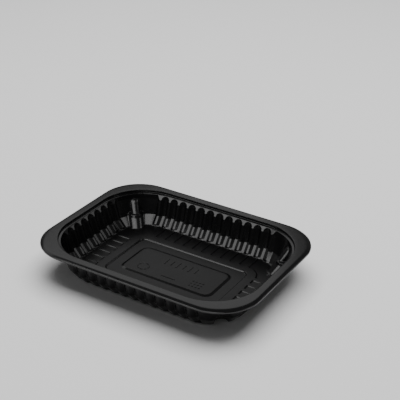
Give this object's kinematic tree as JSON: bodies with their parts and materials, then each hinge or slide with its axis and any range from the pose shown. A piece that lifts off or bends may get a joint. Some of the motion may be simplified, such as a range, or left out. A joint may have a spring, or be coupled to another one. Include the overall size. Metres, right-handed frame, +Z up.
{
  "type": "sealable food tray",
  "caption": "Shallow rectangular thermoformed food tray with a wide flat sealing flange, rounded corners, ribbed drafted walls, corner columns and a stepped floor.",
  "frame": {"origin": "centre of the bounding box in plan, on the surface the tray stands on", "axes": "+X along the long side, +Y along the short side, +Z up through the open mouth"},
  "size_m": [0.19, 0.143, 0.0293],
  "materials": {
    "tray": "satin black polypropylene"
  },
  "bodies": {
    "root": {"tray": "tray"}
  },
  "joints": []
}
